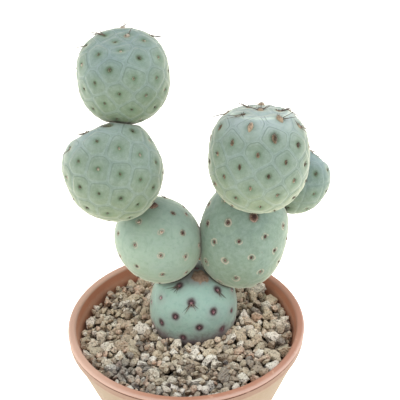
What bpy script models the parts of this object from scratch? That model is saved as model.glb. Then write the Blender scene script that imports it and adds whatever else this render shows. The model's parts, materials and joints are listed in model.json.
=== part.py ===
"""Potted tephrocactus: seven round stem segments that grow out of each other, in a squat pot of grit.

Lengths are in millimetres up to the last step, where MM turns them into metres. The origin is the middle of
the pot's foot, +Z is up the pot's axis, and the plant faces -Y.
"""

import math
import random

import bmesh
import bpy
from mathutils import Matrix, Vector

MM = 0.001
TOUCH_GAP = 0.3  # left between two pieces that touch

# The pot
POT_HEIGHT = 76.0
RIM_RADIUS = 60.0
LIP_WIDTH = 4.0
LIP_DEPTH = 6.0
LIP_ROUND = 1.3
LIP_OVERHANG = 0.8
FOOT_RADIUS = 34.0
FOOT_CHAMFER = 1.2
WALL = 1.8
FLOOR = 2.2
POT_SIDES = 44
DRAIN_HOLES = 6
DRAIN_RADIUS = 3.5
DRAIN_CIRCLE = 22.0

# The grit
GRIT_TOP = 66.5
GRIT_LEVEL = 25.0  # the grit's top is level this far out, and falls a little from there to the wall
GRIT_FALL = 0.6
GRIT_SIDES = 40
GRAINS = 96
GRAIN_SIZE = (9.8, 12.2)
GRAIN_SUNK = 2.4
GRAIN_WALL_CLEARANCE = 0.5
GRIT_CLEARANCE = 0.55  # round the buried foot of the lowest segment

# The segments' shape
NET_DEPTH = 0.75
PLATE_RISE = 0.15
PIT_DEPTH = 0.45
AREOLE_RISE = 0.25
PLATE_INSET = 0.052  # both on a sphere of radius 1
PIT_INSET = 0.083
GOLDEN_TURN = math.pi * (3 - math.sqrt(5))
CONTACT_SLACK = 0.6  # neighbours that come nearer than this are pressed flat against each other
LOWER_YIELDS = 0.2  # over a half: the share of a contact's depth that the lower segment gives up

# The spines
SPINE_LENGTH = (4.5, 7.5)
SPINE_RADIUS = 0.42
SPINE_ROOT = 1.0
SPINE_LEAN = 0.45
SPINE_CLEARANCE = 1.12  # of a neighbour's size
SPINE_LOWEST = 72.0  # no spine starts below this, in the grit

# The roots
NECK_TOP = 53.2
NECK_RADIUS = 4.6
NECK_LENGTH = 12.0
ROOTS = 5
ROOT_RADIUS = (2.3, 0.8)
ROOT_REACH = 30.0
ROOT_DROP = 35.0
ROOT_STEPS = 5


class Segment:
    """One round stem segment: an egg-shaped body, its areoles on a golden-angle spiral from its crown.

    The body is a superellipse of one power above its widest part, the shoulder, and another below it,
    the taper.
    """

    def __init__(self, name, centre, width, height, powers, lean, areoles, first, spin, hand):
        self.name = name
        self.centre = Vector(centre)
        self.radius = width / 2
        self.half_height = height / 2
        self.shoulder, self.taper = powers
        self.areoles = areoles
        self.first = first
        self.spin = math.radians(spin)
        self.hand = hand
        axis = Vector((math.sin(math.radians(lean[0])), math.sin(math.radians(lean[1])), 0))
        axis.z = math.sqrt(1 - axis.length_squared)
        self.turn = Vector((0, 0, 1)).rotation_difference(axis).to_matrix()

    def grown(self, name, step, *shape):
        """A segment that grows from this one, its centre a step away from this centre."""
        return Segment(name, self.centre + Vector(step), *shape)

    def reach(self, way):
        """From the centre to the skin along a unit vector in the segment's own frame."""
        power = self.taper + (self.shoulder - self.taper) * (0.5 + 0.5 * math.tanh(2.5 * way.z))
        around = math.hypot(way.x, way.y) / self.radius
        along = abs(way.z) / self.half_height
        return (around**power + along**power) ** (-1 / power)

    def skin(self, way, out=0.0):
        """The point of the skin along a unit vector of the segment's own frame."""
        return self.centre + self.turn @ (way * (self.reach(way) + out))

    def reach_towards(self, point):
        return self.reach(self.turn.transposed() @ (point - self.centre).normalized())

    def areole_ways(self):
        ways = []
        turn = 0
        while turn + self.first < self.areoles:
            height = 1 - 2 * (turn + self.first) / self.areoles
            angle = self.spin + self.hand * turn * GOLDEN_TURN
            across = math.sqrt(1 - height * height)
            ways.append(Vector((across * math.cos(angle), across * math.sin(angle), height)))
            turn += 1
        return ways


BASE = Segment(
    "base_segment", (3.9, 11.2, 74.5), 45.6, 47.5, (2.4, 2.2), (3, 0), 54, 0.1, 61, -1
)
LEFT_LOW = BASE.grown(
    "left_low_segment", (-16.8, 4.9, 39.5), 45.8, 41.7, (1.95, 2.05), (41, 2), 43.8, 0.09, 310, 1
)
RIGHT_LOW = BASE.grown(
    "right_low_segment", (25.7, 7.0, 39.1), 44.6, 53.7, (2.45, 2.25), (13, 16), 52.5, 0.19, 335, 1
)
LEFT_MID = LEFT_LOW.grown(
    "left_mid_segment", (-19.4, -3.3, 40.6), 46.6, 47.3, (2.7, 1.9), (-24, 23), 59, 0.2, 343, 1
)
LEFT_TOP = LEFT_MID.grown(
    "left_top_segment", (5.7, 19.2, 40.1), 43.6, 42.3, (2.9, 2.2), (-2, -12), 63, 0.15, 191, -1
)
RIGHT_TOP = RIGHT_LOW.grown(
    "right_top_segment", (6.4, -7.8, 47.6), 47.7, 51, (2.55, 2.15), (1, 11), 65, 0.15, 271, -1
)
RIGHT_BACK = RIGHT_LOW.grown(
    "right_back_segment", (27.9, 18.1, 21.3), 34.1, 35.3, (2.45, 2), (38, 20), 34, 0.3, 120, 1
)
SEGMENTS = [BASE, LEFT_LOW, RIGHT_LOW, LEFT_MID, LEFT_TOP, RIGHT_TOP, RIGHT_BACK]


def new_material(name, colour, roughness):
    material = bpy.data.materials.new(name)
    material.use_nodes = True
    shader = material.node_tree.nodes["Principled BSDF"]
    shader.inputs["Base Color"].default_value = (*colour, 1)
    shader.inputs["Roughness"].default_value = roughness
    shader.inputs["Metallic"].default_value = 0
    return material


def new_object(name, bm, collection, material=None):
    mesh = bpy.data.meshes.new(name)
    bm.to_mesh(mesh)
    bm.free()
    obj = bpy.data.objects.new(name, mesh)
    collection.objects.link(obj)
    if material:
        mesh.materials.append(material)
    return obj


def baked(obj):
    """Applies the object's modifiers."""
    graph = bpy.context.evaluated_depsgraph_get()
    mesh = bpy.data.meshes.new_from_object(obj.evaluated_get(graph))
    obj.modifiers.clear()
    obj.data = mesh
    return obj


def combine(obj, collection, operation):
    """Joins a collection's objects to an object, or cuts them from it, and removes them."""
    if not collection.objects:
        return
    modifier = obj.modifiers.new(operation.title(), "BOOLEAN")
    modifier.operation = operation
    modifier.operand_type = "COLLECTION"
    modifier.collection = collection
    modifier.solver = "EXACT"
    baked(obj)
    for other in list(collection.objects):
        bpy.data.objects.remove(other)


def turned(name, profile, sides, collection, material=None):
    """A closed turned solid from a profile of (radius, height) points, from the axis to the axis."""
    bm = bmesh.new()
    points = [bm.verts.new((radius * MM, 0, height * MM)) for radius, height in profile]
    for start, end in zip(points, points[1:]):
        bm.edges.new((start, end))
    obj = new_object(name, bm, collection, material)
    screw = obj.modifiers.new("Screw", "SCREW")
    screw.steps = sides
    screw.render_steps = sides
    screw.use_merge_vertices = True
    screw.merge_threshold = 0.00005
    return baked(obj)


def arc(centre, radius, start, end, steps):
    """Points of an arc in a profile, with angles in degrees."""
    points = []
    for step in range(steps + 1):
        angle = math.radians(start + (end - start) * step / steps)
        points.append((centre[0] + radius * math.cos(angle), centre[1] + radius * math.sin(angle)))
    return points


def inner_wall_radius(height):
    """The pot's inner radius at a height."""
    low = FOOT_RADIUS - WALL
    high = RIM_RADIUS - LIP_WIDTH - 0.8
    return low + (high - low) * (height - FLOOR) / (POT_HEIGHT - LIP_DEPTH - FLOOR)


def make_pot(collection, cutters, material):
    lip_bottom = POT_HEIGHT - LIP_DEPTH
    lip_inner = RIM_RADIUS - LIP_WIDTH
    outer = RIM_RADIUS - LIP_ROUND
    profile = [(0, FLOOR), (inner_wall_radius(FLOOR), FLOOR), (inner_wall_radius(lip_bottom), lip_bottom)]
    profile += arc((lip_inner + LIP_ROUND, POT_HEIGHT - LIP_ROUND), LIP_ROUND, 180, 90, 2)
    profile += arc((outer, POT_HEIGHT - LIP_ROUND), LIP_ROUND, 90, 0, 2)
    profile += [(RIM_RADIUS - 0.3, lip_bottom), (RIM_RADIUS - LIP_OVERHANG, lip_bottom)]
    profile += [(FOOT_RADIUS + 0.4, FOOT_CHAMFER), (FOOT_RADIUS - FOOT_CHAMFER, 0), (0, 0)]
    pot = turned("pot", profile, POT_SIDES, collection, material)
    for hole in range(DRAIN_HOLES):
        angle = math.tau * hole / DRAIN_HOLES
        bm = bmesh.new()
        place = Matrix.Translation(
            (DRAIN_CIRCLE * math.cos(angle) * MM, DRAIN_CIRCLE * math.sin(angle) * MM, FLOOR / 2 * MM)
        )
        bmesh.ops.create_cone(
            bm,
            cap_ends=True,
            segments=12,
            radius1=DRAIN_RADIUS * MM,
            radius2=DRAIN_RADIUS * MM,
            depth=3 * FLOOR * MM,
            matrix=place,
        )
        new_object("drain_hole_cutter", bm, cutters)
    combine(pot, cutters, "DIFFERENCE")
    return pot


def root_paths(rng, swell):
    """The middle lines of the main roots, from the neck out and down. Swollen ones run on a little."""
    paths = []
    for root in range(ROOTS):
        angle = math.tau * (root + rng.uniform(-0.25, 0.25)) / ROOTS
        reach = ROOT_REACH * rng.uniform(0.7, 1.0)
        drop = ROOT_DROP * rng.uniform(0.75, 1.0)
        bend = rng.uniform(-0.5, 0.5)
        path = []
        for step in range(ROOT_STEPS + 1):
            along = step / ROOT_STEPS
            if step == ROOT_STEPS:
                along += 2 * swell / drop
            turn = angle + bend * along
            out = 1.0 + (reach - 1.0) * along**1.3 * (1 - 0.35 * along)
            depth = NECK_TOP - 4.0 - drop * along
            path.append(
                (BASE.centre.x + out * math.cos(turn), BASE.centre.y + out * math.sin(turn), depth)
            )
        paths.append(path)
    return paths


def make_roots(name, swell, neck_top, collection, helpers, material=None):
    """The root neck and the main roots, each swollen by some millimetres."""
    for number, path in enumerate(root_paths(random.Random(4), swell)):
        curve = bpy.data.curves.new(f"root_{number}", "CURVE")
        curve.dimensions = "3D"
        curve.bevel_depth = 1.0 * MM
        curve.bevel_resolution = 1
        curve.use_fill_caps = True
        spline = curve.splines.new("POLY")
        spline.points.add(ROOT_STEPS)
        for step, (point, place) in enumerate(zip(spline.points, path)):
            point.co = (*(Vector(place) * MM), 1)
            thick, thin = ROOT_RADIUS
            point.radius = thick + (thin - thick) * step / ROOT_STEPS + swell
        guide = bpy.data.objects.new(curve.name, curve)
        helpers.objects.link(guide)
        graph = bpy.context.evaluated_depsgraph_get()
        bm = bmesh.new()
        mesh = bpy.data.meshes.new_from_object(guide.evaluated_get(graph))
        bm.from_mesh(mesh)
        bmesh.ops.remove_doubles(bm, verts=bm.verts, dist=0.00001)
        bpy.data.objects.remove(guide)
        new_object(f"root_{number}", bm, helpers)
    neck_low = NECK_TOP - NECK_LENGTH
    taper = 0.4 * NECK_RADIUS / NECK_LENGTH
    bm = bmesh.new()
    bmesh.ops.create_cone(
        bm,
        cap_ends=True,
        segments=14,
        radius1=(0.6 * NECK_RADIUS + swell) * MM,
        radius2=(NECK_RADIUS + taper * (neck_top - NECK_TOP) + swell) * MM,
        depth=(neck_top - neck_low) * MM,
        matrix=Matrix.Translation((BASE.centre.x * MM, BASE.centre.y * MM, (neck_top + neck_low) / 2 * MM)),
    )
    roots = new_object(name, bm, collection, material)
    combine(roots, helpers, "UNION")
    return roots


def grain_mesh(rng, size):
    """One angular grain, widest at its foot: the hull of a few points."""
    bm = bmesh.new()
    sides = 5
    for side in range(sides):
        angle = math.tau * (side + rng.uniform(-0.3, 0.3)) / sides
        out = size / 2 * rng.uniform(0.9, 1.1)
        bm.verts.new((out * math.cos(angle), out * math.sin(angle), -GRAIN_SUNK))
        if side % 2 == 0:
            out *= rng.uniform(0.55, 0.85)
            angle += rng.uniform(-0.3, 0.3)
            bm.verts.new((out * math.cos(angle), out * math.sin(angle), size * rng.uniform(0.12, 0.36)))
    hull = bmesh.ops.convex_hull(bm, input=bm.verts)
    loose = {item for item in hull["geom_interior"] if isinstance(item, bmesh.types.BMVert)}
    bmesh.ops.delete(bm, geom=list(loose), context="VERTS")
    bmesh.ops.recalc_face_normals(bm, faces=bm.faces)
    return bm


def make_grit(collection, helpers, cutters, material):
    foot = FLOOR + TOUCH_GAP
    brim = GRIT_TOP - GRIT_FALL
    profile = [
        (0, GRIT_TOP),
        (GRIT_LEVEL, GRIT_TOP),
        (inner_wall_radius(brim) - TOUCH_GAP, brim),
        (inner_wall_radius(foot) - TOUCH_GAP, foot),
        (0, foot),
    ]
    grit = turned("potting_grit", profile, GRIT_SIDES, collection, material)
    rng = random.Random(11)
    outermost = inner_wall_radius(GRIT_TOP - GRAIN_SUNK) - GRAIN_WALL_CLEARANCE
    for number in range(GRAINS):
        size = rng.uniform(*GRAIN_SIZE)
        far = outermost - 0.56 * size
        out = far * math.sqrt((number + 0.5) / GRAINS)
        angle = number * GOLDEN_TURN
        bm = grain_mesh(rng, size)
        spot = Vector((out * math.cos(angle), out * math.sin(angle), GRIT_TOP))
        buried = (spot - BASE.centre).to_2d().length < BASE.radius - GRAIN_SIZE[0] / 2
        place = Matrix.Translation(spot) @ Matrix.Rotation(rng.uniform(0, math.tau), 4, "Z")
        bmesh.ops.transform(bm, matrix=Matrix.Scale(MM, 4) @ place, verts=bm.verts)
        if buried:
            bm.free()
            continue
        new_object("grain", bm, helpers)
    combine(grit, helpers, "UNION")
    new_object("foot_cutter", smooth_egg(BASE, GRIT_CLEARANCE), cutters)
    combine(grit, cutters, "DIFFERENCE")
    make_roots("root_cutter", TOUCH_GAP, NECK_TOP + 4.0, cutters, helpers)
    combine(grit, cutters, "DIFFERENCE")
    return grit


def smooth_egg(segment, swell):
    """The segment's body with no relief, swollen by some millimetres."""
    bm = bmesh.new()
    bmesh.ops.create_uvsphere(bm, u_segments=28, v_segments=16, radius=1)
    for vert in bm.verts:
        vert.co = segment.skin(vert.co.normalized(), swell) * MM
    return bm


def tubercle_net(segment):
    """The segment's skin: a cell round each areole, with a groove round it, a plate and a pit.

    The hull of the areoles is poked and its own edges are turned, which leaves each areole inside its cell.
    """
    bm = bmesh.new()
    for way in segment.areole_ways():
        bm.verts.new(way)
    bmesh.ops.convex_hull(bm, input=bm.verts)
    areoles = list(bm.verts)
    hull_edges = list(bm.edges)
    poked = bmesh.ops.poke(bm, faces=list(bm.faces))
    for corner in poked["verts"]:
        corner.co.normalize()
    for edge in hull_edges:
        bmesh.utils.edge_rotate(edge, True)
    bmesh.ops.dissolve_verts(bm, verts=areoles)
    cells = list(bm.faces)
    net = set(bm.verts)
    bmesh.ops.inset_individual(bm, faces=cells, thickness=PLATE_INSET, use_even_offset=True)
    plate = set(bm.verts) - net
    bmesh.ops.inset_individual(bm, faces=cells, thickness=PIT_INSET, use_even_offset=True)
    pit = set(bm.verts) - net - plate
    middle = set(bmesh.ops.poke(bm, faces=cells)["verts"])
    for verts, out in ((net, -NET_DEPTH), (plate, PLATE_RISE), (pit, -PIT_DEPTH), (middle, AREOLE_RISE)):
        for vert in verts:
            vert.co = segment.skin(vert.co.normalized(), out) * MM
    bmesh.ops.recalc_face_normals(bm, faces=bm.faces)
    return bm


def contact(one, other):
    """The middle of the contact between two segments and its normal, or None where they stay apart."""
    step = other.centre - one.centre
    mine = one.reach_towards(other.centre)
    slack = step.length - mine - other.reach_towards(one.centre)
    if slack > CONTACT_SLACK:
        return None
    normal = step.normalized()
    share = 0.5 + LOWER_YIELDS * max(-1, min(1, 2 * normal.z))
    return one.centre + normal * (mine + slack * share), normal


def facing(way):
    """The rotation that turns +Z to a unit vector."""
    return way.to_track_quat("Z", "Y").to_matrix().to_4x4()


def add_slab_cutter(name, middle, normal, cutters):
    """A slab whose face lies at a point and whose body lies along the normal from there."""
    bm = bmesh.new()
    side = 70.0
    place = Matrix.Translation((middle + normal * side / 2) * MM)
    bmesh.ops.create_cube(bm, size=side * MM, matrix=place @ facing(normal))
    new_object(name, bm, cutters)


def is_clear(point, owner):
    """Whether a point lies outside every other segment, with some room."""
    for other in SEGMENTS:
        if other is owner:
            continue
        if (point - other.centre).length < other.reach_towards(point) * SPINE_CLEARANCE:
            return False
    return True


def add_spines(segment, rng, helpers):
    """A spine on every fourth areole and on those round the crown, each turned clear of the neighbours."""
    for number, way in enumerate(segment.areole_ways()):
        around_crown = 1 <= number <= 6
        if around_crown or number % 4 == 0:
            length = rng.uniform(*SPINE_LENGTH) * (1.0 if way.z > 0 else 0.7)
            foot = segment.skin(way)
            outward = segment.turn @ way
            start = rng.uniform(0, math.tau)
            for attempt in range(8):
                angle = start + attempt * math.tau / 8
                side = outward.orthogonal().normalized()
                lean = Matrix.Rotation(angle, 3, outward) @ side
                aim = (outward + lean * SPINE_LEAN).normalized()
                if all(is_clear(foot + aim * length * part, segment) for part in (0.3, 0.6, 1.0)):
                    break
            else:
                continue
            if foot.z < SPINE_LOWEST or (foot + aim * length).z < SPINE_LOWEST:
                continue
            bm = bmesh.new()
            middle = foot + aim * (length - SPINE_ROOT) / 2
            place = Matrix.Translation(middle * MM) @ facing(aim)
            bmesh.ops.create_cone(
                bm,
                cap_ends=True,
                segments=3,
                radius1=SPINE_RADIUS * MM,
                radius2=0,
                depth=(length + SPINE_ROOT) * MM,
                matrix=place,
            )
            new_object("spine", bm, helpers)


def make_segment(segment, rng, collection, helpers, cutters, material):
    obj = new_object(segment.name, tubercle_net(segment), collection, material)
    for other in SEGMENTS:
        if other is segment:
            continue
        touch = contact(segment, other)
        if touch:
            middle, normal = touch
            add_slab_cutter("contact_cutter", middle - normal * TOUCH_GAP / 2, normal, cutters)
    if segment is BASE:
        below = Vector((0, 0, -1))
        root_end = Vector((segment.centre.x, segment.centre.y, NECK_TOP + TOUCH_GAP))
        add_slab_cutter("neck_cutter", root_end, below, cutters)
    combine(obj, cutters, "DIFFERENCE")
    add_spines(segment, rng, helpers)
    combine(obj, helpers, "UNION")
    return obj


def main():
    for obj in list(bpy.data.objects):
        bpy.data.objects.remove(obj)
    plant = bpy.data.collections.new("potted_tephrocactus")
    cutters = bpy.data.collections.new("cutters")
    helpers = bpy.data.collections.new("repeats")
    for collection in (plant, cutters, helpers):
        bpy.context.scene.collection.children.link(collection)
    terracotta = new_material("terracotta_plastic", (0.42, 0.20, 0.13), 0.55)
    pumice = new_material("pumice_grit", (0.50, 0.42, 0.34), 0.95)
    flesh = new_material("cactus_skin", (0.22, 0.30, 0.22), 0.6)
    rootwood = new_material("root_bark", (0.30, 0.20, 0.12), 0.85)

    make_pot(plant, cutters, terracotta)
    make_grit(plant, helpers, cutters, pumice)
    make_roots("roots", 0.0, NECK_TOP, plant, helpers, rootwood)
    rng = random.Random(7)
    for segment in SEGMENTS:
        make_segment(segment, rng, plant, helpers, cutters, flesh)


main()
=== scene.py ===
"""Looks of the potted tephrocactus: skin with its net and areoles, spines, pumice and pot.

Lengths are in millimetres up to the last step, where MM turns them into metres. Angles are in degrees.
"""

import json
import math
import random

import bmesh
import bpy
import numpy as np
from mathutils import Matrix, Vector

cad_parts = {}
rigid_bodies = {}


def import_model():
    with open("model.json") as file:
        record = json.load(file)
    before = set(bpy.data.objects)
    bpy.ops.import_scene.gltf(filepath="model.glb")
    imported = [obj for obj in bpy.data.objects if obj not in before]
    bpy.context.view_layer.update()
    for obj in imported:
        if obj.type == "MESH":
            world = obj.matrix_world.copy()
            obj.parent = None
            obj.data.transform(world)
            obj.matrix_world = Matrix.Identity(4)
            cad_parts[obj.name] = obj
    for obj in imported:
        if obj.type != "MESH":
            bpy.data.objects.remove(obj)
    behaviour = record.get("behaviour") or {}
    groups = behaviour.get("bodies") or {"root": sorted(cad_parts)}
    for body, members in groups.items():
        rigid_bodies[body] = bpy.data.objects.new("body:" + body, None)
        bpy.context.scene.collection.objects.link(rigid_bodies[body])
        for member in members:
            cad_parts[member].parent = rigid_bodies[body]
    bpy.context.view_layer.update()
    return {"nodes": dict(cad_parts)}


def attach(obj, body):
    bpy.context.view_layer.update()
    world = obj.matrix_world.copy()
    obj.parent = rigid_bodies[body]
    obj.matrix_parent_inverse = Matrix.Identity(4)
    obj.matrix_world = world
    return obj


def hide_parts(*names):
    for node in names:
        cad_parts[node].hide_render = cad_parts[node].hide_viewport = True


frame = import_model()

MM = 0.001
GOLDEN_TURN = math.pi * (3 - math.sqrt(5))

# The photograph's view, and the glow of the floor under it
CAMERA_PLACE = (0.0, -343.4, 348.4)
CAMERA_PITCH = 30.53
CAMERA_YAW = 1.31
CAMERA_ROLL = -0.80
LENS = 76.5
SENSOR = 36.0
FLOOR_GLOW = 0.9

# The pot, as in the frame
POT_HEIGHT = 76.0
RIM_RADIUS = 60.0
LIP_WIDTH = 4.0
LIP_DEPTH = 6.0
LIP_ROUND = 1.3
LIP_OVERHANG = 0.8
LIP_EDGE = 0.5  # the radius of the lip's lower edge
LIP_FACE = (0.2, 0.3)  # how far in from the rim its face lies, above its groove and below it
LIP_GROOVE = (1.9, 0.35)  # how far down the lip's face, and how deep
GROOVE_REACH = (0.35, 0.3)  # how far the groove opens above and below its deepest line
WALL_INSET = 0.8  # how far the wall's inside lies in from the lip's at its top
WALL_START = (0.3, 0.1)  # in and down from the lip's overhang
WALL_STEPS = 8
FOOT_RADIUS = 34.0
FOOT_FLARE = 0.4
FOOT_CHAMFER = 1.2
FOOT_BEND = (0.1, 0.35)  # in from the foot's radius and up, on the way to the chamfer
WALL = 1.8
FLOOR = 2.2
FLOOR_FILLET = 1.5
POT_SIDES = 144
DRAIN_HOLES = 6
DRAIN_RADIUS = 3.5
DRAIN_CIRCLE = 22.0
DRAIN_SIDES = 24
SHARP_EDGE = 38  # degrees
MERGED = 0.00001  # points of a turned piece that are nearer than this, in metres, become one
TOUCH_GAP = 0.3  # left between two pieces that touch

# The grit
GRIT_SEED = 23
BED_TOP = 62.5
BED_RINGS = range(0, 50, 5)
BED_SIDES = 96
BED_SUNK = 1.0  # how far the bed lies below the level that the grains stand on
GRAIN_LAYER = 4.0  # about how high the grains lie on the bed
GRAIN_CEILING = 70.5
GRAIN_SIZES = (2.0, 4.2, 8.6)  # the finest, where coarse ones begin, and the coarsest
COARSE_GRAINS = 500
FINE_GRAINS = 1500
FIRST_FINES = 0.5  # the share of the fine grains that lies below the coarse ones
COMMON_GRAIN = 1.8  # how much larger the most common coarse grain is than the smallest coarse one
GRAIN_TRIES = 9
GRAIN_PACKING = 0.8  # how far apart two grains' middles rest, in sums of their radii
GRAIN_FOOTING = 0.4  # how high a grain's middle rests on the bed, in its radii
GRAIN_TO_WALL = 0.6  # how near the pot's wall it comes, in its radii
GRAIN_TO_BASE = (-0.8, 0.7)  # how near the base's skin it comes: in millimetres, and more in its radii
GRAIN_TILT = 0.7  # radians
GRAIN_SWELL = 1.1  # a grain is this much larger than the ball that was dropped for it
GRAIN_BLANK = 1.15  # the ball that a grain is cut from, before its cuts
GRAIN_CUTS = 8
GRAIN_CUT_AT = (0.42, 0.9)  # how far from its middle each cut passes
GRAIN_ROUGHNESS = (0.06, 0.08)  # of its broad lumps and its fine ones
GRAIN_STRETCH = ((1.0, 1.35), (0.85, 1.15), (0.7, 1.0))
COARSE_SHAPES = 40
FINE_SHAPES = 24
MOUND = (1.0, 36.0)  # how high the grit is heaped round the plant, and how far out
RISE_TO_RIGHT = 0.045  # and how much it rises for each millimetre to the right
SLATE_SPOT = (-32.0, -30.0)  # a patch of dark grit
SLATE_REACH = 10.0

# The segments
PLANT_SEED = 5
WAIST = 2.5  # how quickly a segment's taper turns into its shoulder
CELL_ROUNDING = 55.0  # how sharp the corners of the net's cells are
CONTACT_SLACK = 0.6  # neighbours that come nearer than this are pressed flat against each other
CONTACT_MARGIN = 0.5  # areoles nearer to a contact than this are left out
SCAR_BARE = 0.8  # and those inside this share of a scar's size
GRIT_COVERS = 5.0  # and the base's own, this far below the grains' ceiling
LOWER_YIELDS = 0.2  # over a half: the share of a contact's depth that the lower segment gives up
NECK_TOP = 53.5  # the base's skin ends flat here, on the neck of the roots
GROOVE_WIDTH = 0.4
TUBERCLE_EDGE = 1.5  # how far in from its cell's edge a tubercle has most of its height
CHIN = (2.6, 1.5, 2.2)  # how far below its areole a tubercle's chin lies, how tall it is and how wide
LINE_FROM_EDGE = 0.75  # the net's line runs this far inside each cell
ARC_FROM_EDGE = 1.9  # and a fainter one above the areole
SKIN_SUNK = 0.1
BRISTLE_THICK = 0.09
TUFT = (0.12, 5, 0.4)  # how far up its cushion a tuft stands, how much narrower it is, and how high
WOOL_HEIGHT = 1.6  # how much higher a woolly cushion stands, for its size
SEAM_REACH = 1.5  # how wide the gap to a neighbour is where a seam's dark scurf and painted shade fade
DISH_RIM = 0.87  # a dished crown's rim, as the upward part of the way from the middle
DISH_SLOPE = 0.07  # and how much further in it reaches its full depth
SPINE_CLEARANCE = 0.4
ASKEW = (0.31, 0.23, 0.92)  # a way that no spine or bristle takes, to find its sides by
SPINE_RAISE = 12  # degrees that a spine is raised by, each time it would touch a neighbour
SKIN_PRESS = 0.05  # neighbours' skins meet a little beyond the middle of each contact


# Shader maths


class Wire:
    """An output socket that can be used in an expression: each operator adds its Math node."""

    def __init__(self, paint, socket):
        self.paint = paint
        self.socket = socket

    def maths(self, operation, *values, clamp=False):
        settings = {"operation": operation, "use_clamp": clamp}
        return self.paint.node("Math", settings, dict(enumerate(values)))

    def __add__(self, other):
        return self.maths("ADD", self, other)

    def __sub__(self, other):
        return self.maths("SUBTRACT", self, other)

    def __rsub__(self, other):
        return self.maths("SUBTRACT", other, self)

    def __mul__(self, other):
        return self.maths("MULTIPLY", self, other)

    def __truediv__(self, other):
        return self.maths("DIVIDE", self, other)

    __radd__ = __add__
    __rmul__ = __mul__

    def away_from(self, value):
        return self.maths("ABSOLUTE", self - value)

    def clamped(self):
        return self.maths("ADD", self, 0.0, clamp=True)

    def step(self, low, high):
        """0 below low, 1 above high and smooth between; high may be the lower one."""
        settings = {"interpolation_type": "SMOOTHSTEP"}
        if low < high:
            return self.paint.node("MapRange", settings, {"Value": self, "From Min": low, "From Max": high})
        return 1 - self.step(high, low)


class Paint:
    """A material in the making, with one method that adds any node. A node's colours are given as a
    screen shows them."""

    def __init__(self, name, shader):
        self.material = bpy.data.materials.new(name)
        self.material.use_nodes = True
        self.tree = self.material.node_tree
        self.shader = self.tree.nodes["Principled BSDF"]
        for socket, value in shader.items():
            self.shader.inputs[socket].default_value = value

    def feed(self, target, value):
        if isinstance(value, Wire):
            self.tree.links.new(value.socket, target)
        elif target.type == "RGBA":
            target.default_value = screen(*value)
        else:
            target.default_value = value

    def node(self, kind, settings=None, sockets=None, output=0):
        """Adds a node of a type: its settings first, then its sockets' values or wires."""
        node = self.tree.nodes.new("ShaderNode" + kind)
        for name, value in (settings or {}).items():
            if name == "stops":
                self.set_stops(node.color_ramp, value)
            else:
                setattr(node, name, value)
        for name, value in (sockets or {}).items():
            self.feed(node.inputs[name], value)
        return Wire(self, node.outputs[output])

    @staticmethod
    def set_stops(ramp, stops):
        while len(ramp.elements) < len(stops):
            ramp.elements.new(1.0)
        for element, (place, colour) in zip(ramp.elements, stops):
            element.position = place
            element.color = screen(*colour)

    def blend(self, mask, low, high, mode="MIX"):
        """One colour turning into another by a mask."""
        settings = {"data_type": "RGBA", "blend_type": mode, "clamp_factor": True}
        sockets = {0: mask, 6: low, 7: high}
        return self.node("Mix", settings, sockets, output=2)

    def coats(self, colour, *coats):
        """A colour with coats over it, in turn: each the mask that it shows by and its own colour."""
        for mask, coat in coats:
            colour = self.blend(mask, colour, coat)
        return colour

    def shaded(self, mask, colour, factors):
        """A colour whose red, green and blue are multiplied by three factors, by a mask."""
        return self.blend(mask, colour, self.node("CombineXYZ", {}, dict(enumerate(factors))), "MULTIPLY")

    def place(self):
        return self.node("TexCoord", output=3)

    def parts(self, vector):
        """A vector's three numbers."""
        sockets = self.node("SeparateXYZ", {}, {"Vector": vector}).socket.node.outputs
        return [Wire(self, socket) for socket in sockets]

    def place_parts(self):
        """Across, away from the viewer and up, in millimetres."""
        return [part * (1 / MM) for part in self.parts(self.place())]

    def facing_up(self):
        """The upward part of the surface's normal."""
        return self.parts(self.node("TexCoord", output=1))[2]

    def radius(self):
        """How far a point is from the pot's axis."""
        flat = self.node("VectorMath", {"operation": "MULTIPLY"}, {0: self.place(), 1: (1.0, 1.0, 0.0)})
        return self.node("VectorMath", {"operation": "LENGTH"}, {0: flat}, output=1)

    def noise(self, scale, detail=3.0, rough=0.5, squash=None):
        """Noise by real place, its scale in features a metre."""
        vector = self.place()
        if squash:
            vector = self.node("VectorMath", {"operation": "MULTIPLY"}, {0: vector, 1: squash})
        sockets = {"Vector": vector, "Scale": scale, "Detail": detail, "Roughness": rough}
        return self.node("TexNoise", {}, sockets)

    def pores(self, scale):
        """How far each point is from the nearest of many scattered pores."""
        return self.node("TexVoronoi", {}, {"Vector": self.place(), "Scale": scale})

    def ramp(self, value, *stops):
        return self.node("ValToRGB", {"stops": stops}, {"Fac": value})

    def carried(self, name):
        """The three numbers of a vector that the mesh carries."""
        return self.parts(self.node("Attribute", {"attribute_name": name}, output=1))

    def carried_number(self, name):
        return self.node("Attribute", {"attribute_name": name}, output=2)

    def finish(self, colour, rough, relief=None, depth=0.0):
        """Links what varies to the shader. Relief runs from 0 to 1 and depth is in millimetres."""
        self.feed(self.shader.inputs["Base Color"], colour)
        self.feed(self.shader.inputs["Roughness"], rough)
        if relief:
            bump = self.node("Bump", {}, {"Height": relief, "Distance": depth * MM, "Strength": 1.0})
            self.feed(self.shader.inputs["Normal"], bump)
        return self.material


def screen(red, green, blue):
    """A colour as a screen shows it, 0 to 255, in the shader's linear values."""
    return (*(((value / 255 + 0.055) / 1.055) ** 2.4 for value in (red, green, blue)), 1)


# Materials


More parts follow.
